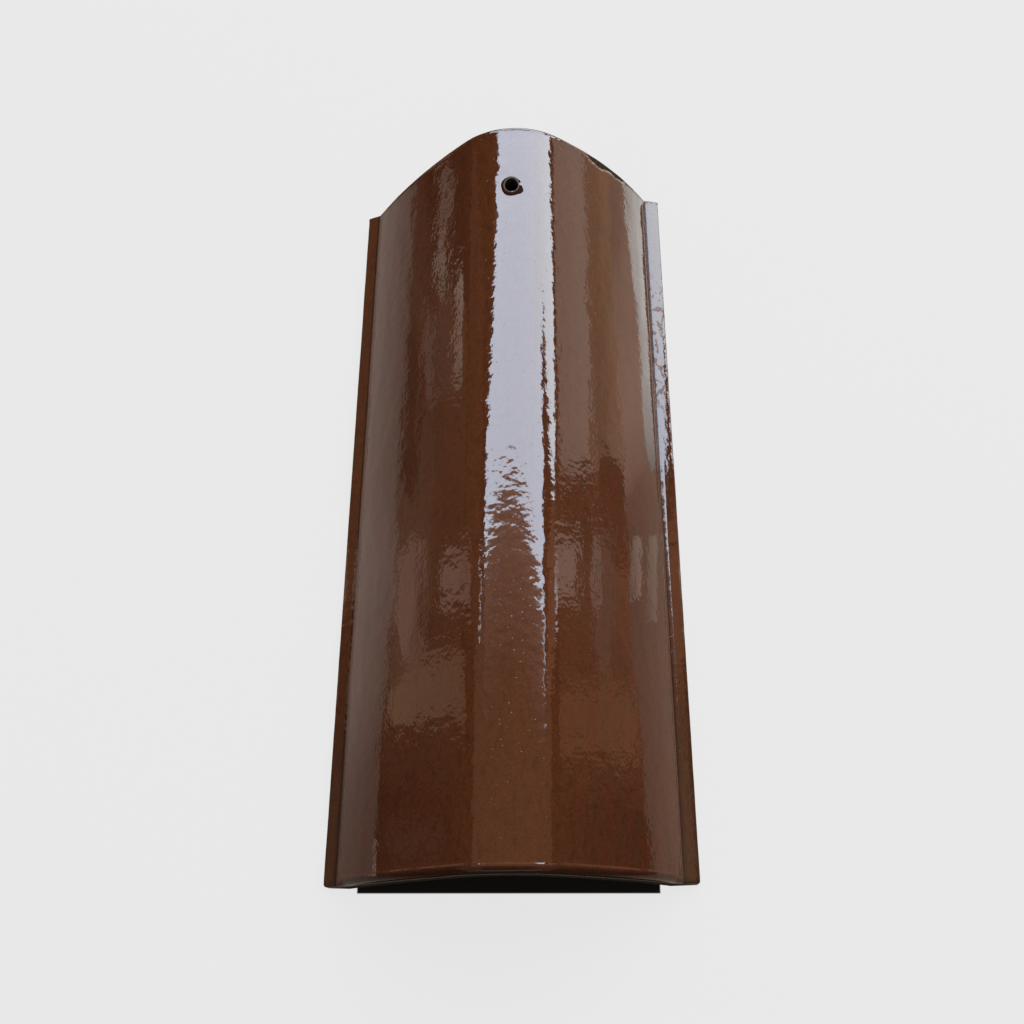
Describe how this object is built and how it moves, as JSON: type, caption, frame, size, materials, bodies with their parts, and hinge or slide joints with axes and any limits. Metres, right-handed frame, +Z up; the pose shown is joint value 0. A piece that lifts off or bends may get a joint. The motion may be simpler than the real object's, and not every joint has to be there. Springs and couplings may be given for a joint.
{
  "type": "verge tile",
  "caption": "Arched, brown-glazed verge tile with a rounded crown, a narrow lip along each long edge, a rounded tail and a nail hole at the head.",
  "frame": {"origin": "under the middle of the tile, on the surface that its two long edges lie on", "axes": "+Z up, +Y along the length toward the head with the nail hole, +X across to the right when looking from tail to head"},
  "size_m": [0.21, 0.445, 0.102],
  "materials": {
    "brown_glaze": "glossy brown glaze with fine ripples and pits, over a dark grey-brown body that shows on the ends, the nail hole and the underside"
  },
  "bodies": {
    "root": {"verge_tile": "brown_glaze"}
  },
  "joints": []
}
